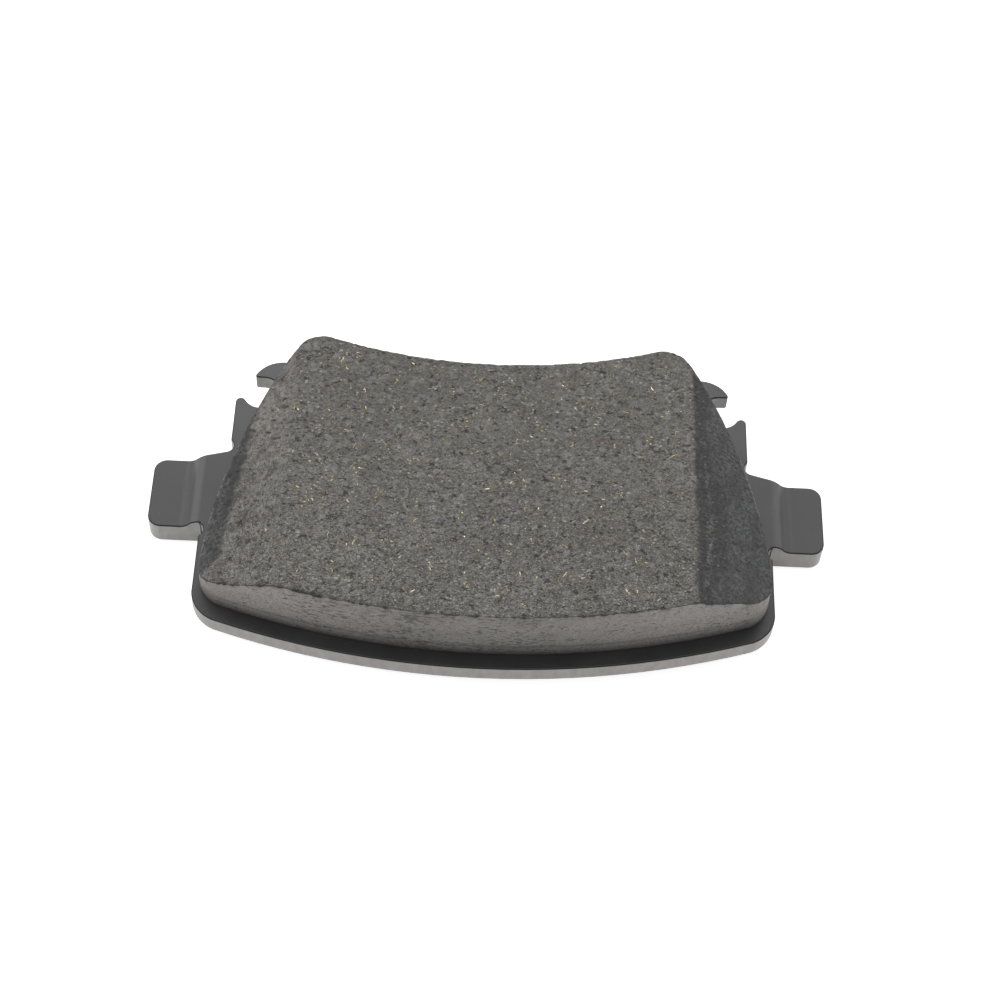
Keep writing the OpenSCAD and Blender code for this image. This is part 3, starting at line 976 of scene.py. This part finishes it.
# %% Friction compound
colour = coats(
    tree, ground,
    (own(tree, "right_chamfer"), slope),
    (own(tree, "left_band"), band),
    (own(tree, "skin"), moulded),
)
tree.links.new(colour, face["Base Color"])
even_part = calc(tree, "MAXIMUM", own(tree, "skin"), own(tree, "left_band"))
even_part = calc(tree, "MAXIMUM", own(tree, "right_chamfer"), even_part)
tree.links.new(between(tree, even_part, 0.0, 1.0, 0.88, 0.65), face["Roughness"])
raised = calc(tree, "SUBTRACT", times(tree, fibre, 0.5), dark)
relief = calc(tree, "ADD", felt, raised)
relief = times(tree, relief, between(tree, even_part, 0.0, 1.0, 1.0, 0.3))
tree.links.new(bump(tree, relief, 0.16, 0.9), face["Normal"])
block.data.materials.append(compound)
print("finish:", compound.name)

# %% [markdown]
# ## Brass slivers
# Chopped brass is mixed into the compound to carry heat off, and grinding lays hundreds of
# bright ends bare. Specks in the shader would lie dead flat and never catch the light, so
# each sliver is a thin domed strip: an arc in plan, tapered to its ends, that follows the
# ground face and stands a few hundredths of a millimetre proud. All of them are worked
# out at once, as arrays of sliver, place along it and place across it.

# %% Brass slivers
loose_count, nest_count, nested_count, most = 500, 120, 210, 440
strip_steps, strip_lines = 8, 3
clear_of_edge, clear_of_end, nest_spread, stain_width = 1.2, 3.5, 0.5, 0.55
edge_proud, dome = 0.02, 0.05
length_shape, length_mm, width_mm, bend_spread = 2.2, 0.19, (0.05, 0.105), 1.1
wide_half, back_half, back_from = 36, 27, 15
chance = np.random.default_rng(21)
loose = chance.uniform([-33, -25], [31, 27], (loose_count, 2))
nests = chance.uniform([-31, -22], [30, 25], (nest_count, 2))
nested = nests[chance.integers(0, nest_count, nested_count)]
nested = nested + chance.normal(0, nest_spread, (nested_count, 2))
spots = np.concatenate([loose, nested])
inside = np.hypot(*(spots - front_mid).T) < front_radius - clear_of_edge
inside &= np.hypot(*(spots - back_mid).T) > back_radius + clear_of_edge
inside &= np.hypot(*(spots * MIRROR - end_mid).T) < end_radius - clear_of_end
inside &= spots[:, X] < face_half - 0.6
inside &= np.abs(spots[:, X]) < np.where(spots[:, Y] < back_from, wide_half, back_half)
spots = spots[inside][-most:]
count = len(spots)
length = chance.gamma(length_shape, length_mm, count)[:, None, None]
width = chance.uniform(*width_mm, count)[:, None, None]
heading = chance.uniform(0, 2 * np.pi, count)[:, None, None]
bend = chance.normal(0, bend_spread, count)[:, None, None]
tone = chance.random(count)
along = np.linspace(-0.5, 0.5, strip_steps)[None, :, None]
side = np.linspace(-1, 1, strip_lines)[None, None, :]


def sliver_points(spots, length, width, heading, bend, along, side):
    """A direction that turns evenly along the strip gives an arc: its points are the sums
    of the cosine and sine. The strip's half width falls to a quarter at the ends, and its
    height is the ground's, plus a dome of 1 - side^2."""
    direction = heading + bend * along
    step = length / (along.shape[1] - 1)
    mid_x = np.cumsum(np.cos(direction) * step, axis=1) - np.cos(direction) * step
    mid_y = np.cumsum(np.sin(direction) * step, axis=1) - np.sin(direction) * step
    half = width * (1 - 0.75 * (2 * along) ** 2)
    x = spots[:, X, None, None] + mid_x - np.sin(direction) * half * side
    y = spots[:, Y, None, None] + mid_y + np.cos(direction) * half * side
    z = ground_height(x, y) + edge_proud + dome * (1 - side ** 2) + 0 * x
    return np.stack(np.broadcast_arrays(x, y, z), axis=-1)


slivers = sliver_points(spots, length, width, heading, bend, along, side)
slivers[..., Z] = np.minimum(slivers[..., Z], face_z)
strip_size = strip_steps * strip_lines
strip_net = grid_faces(np.arange(strip_size).reshape(strip_steps, strip_lines))
sliver_quads = strip_net[None] + strip_size * np.arange(count)[:, None, None]
brass_piece = new_piece(
    "brass_slivers", slivers.reshape(-1, 3), sliver_quads.reshape(-1, 4)[:, ::-1],
    numbers={"tone": np.repeat(tone, strip_size)},
)
print("brass slivers:", count)

# %% [markdown]
# Grinding also smears a little brass into the felt round each nest of fibres, so the block
# carries one more number for that stain. The slivers differ in tone, a few are copper,
# and part of each is tarnished.

# %% Brass
from_nest = np.hypot(*(points[:, None, :2] - nests[None]).transpose(2, 0, 1)).min(axis=1)
stain = np.exp(-(from_nest / stain_width) ** 2) * (1 - skin)
carry(block.data, "brassy", stain * (1 - numbers["right_chamfer"]))

BRASS = {
    "low": (0.36, 0.30, 0.165, 1),
    "high": (0.70, 0.63, 0.43, 1),
    "copper": (0.60, 0.47, 0.40, 1),
    "tarnish": (0.110, 0.100, 0.082, 1),
}
brass, tree, face = new_finish("brass")
tarnish = noise(tree, on_piece(tree), 0.2, 2.0)
clean = fades(tree, tarnish, 0.50, 0.60)
metal = tint(tree, between(tree, own(tree, "tone"), 0.1, 0.9), BRASS["low"], BRASS["high"])
metal = tint(tree, fades(tree, own(tree, "tone"), 0.10, 0.12, 0.7), metal, BRASS["copper"])
tree.links.new(tint(tree, clean, BRASS["tarnish"], metal), face["Base Color"])
tree.links.new(clean, face["Metallic"])
tree.links.new(between(tree, tarnish, 0.3, 0.6, 0.28, 0.7), face["Roughness"])
brass_piece.data.materials.append(brass)
print("finish:", brass.name)

# %% [markdown]
# ## Underlayer and bond
# Between block and plate lies a thin underlayer of plainer compound, and under it a film
# of cured resin. Both show only at their rims, where the plate's black paint has misted
# over them. Their solids are right as they are, so each only gets a finish: the same
# misted skin with painted shade as the wall above, and a brown resin that looks wet where
# it squeezed out.

# %% Underlayer and bond
def dress(node, material):
    """Gives a solid its finish, in the slot it came with."""
    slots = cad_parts[node].data.materials
    slots.clear()
    slots.append(material)


def blend(tree, pattern, low, high):
    """Two colours that follow a noise: low in its hollows and high on its tops."""
    return tint(tree, between(tree, pattern, 0.3, 0.7), low, high)


underlayer, tree, face = new_finish("underlayer_compound", Roughness=0.65)
skin_colour, layers = moulded_skin(tree)
tree.links.new(mist_and_painted_shade(tree, skin_colour, layers), face["Base Color"])
tree.links.new(bump(tree, layers, 0.08, 0.5), face["Normal"])
dress("underlayer", underlayer)

resin, tree, face = new_finish("bond_resin", Roughness=0.35)
resin_low, resin_high = (0.016, 0.012, 0.009, 1), (0.035, 0.024, 0.015, 1)
runs = noise(tree, on_piece(tree), 1.6, 3.0)
tree.links.new(blend(tree, runs, resin_low, resin_high), face["Base Color"])
tree.links.new(bump(tree, runs, 0.05, 0.6), face["Normal"])
dress("bond_film", resin)
print("finishes:", underlayer.name, resin.name)

# %% [markdown]
# ## Noise shim
# The shim is a steel sheet with rubber baked onto both sides and glued to the plate, to
# damp squeal. From below it is one matt black sheet with a fine cloth-like press grain,
# and at its rim the bare steel shows as a bright line. Four solids hold its layers, so
# each of them gets its own finish.

# %% Noise shim
rubber, tree, face = new_finish("shim_rubber")
rubber_low, rubber_high = (0.018, 0.018, 0.019, 1), (0.034, 0.034, 0.035, 1)
grain_scale = 1 / (0.35 * MM)
grain = put(tree, "TexVoronoi", {"Vector": on_piece(tree), "Scale": grain_scale}, "Distance")
wear = noise(tree, on_piece(tree, (0.4, 0.4, 0)), 7.0, 5.0, 0.6)
worn = tint(tree, between(tree, wear, 0.4, 0.7), rubber_low, rubber_high)
tree.links.new(worn, face["Base Color"])
tree.links.new(between(tree, wear, 0.3, 0.7, 0.55, 0.72), face["Roughness"])
tree.links.new(bump(tree, grain, 0.03, 0.5), face["Normal"])
dress("shim_outer_rubber", rubber)
dress("shim_inner_rubber", rubber)

steel, tree, face = new_finish("shim_steel", Metallic=1.0)
steel_low, steel_high = (0.42, 0.43, 0.44, 1), (0.58, 0.59, 0.60, 1)
rolled = noise(tree, on_piece(tree, stretch=(0.08, 1, 1)), 0.3, 4.0)
tree.links.new(blend(tree, rolled, steel_low, steel_high), face["Base Color"])
tree.links.new(between(tree, rolled, 0.3, 0.7, 0.3, 0.45), face["Roughness"])
dress("shim_core", steel)

glue, tree, face = new_finish("shim_glue", Roughness=0.4)
glue_low, glue_high = (0.42, 0.36, 0.22, 1), (0.55, 0.48, 0.32, 1)
spread = noise(tree, on_piece(tree), 1.2, 3.0)
tree.links.new(blend(tree, spread, glue_low, glue_high), face["Base Color"])
dress("shim_adhesive", glue)
print("finishes:", rubber.name, steel.name, glue.name)
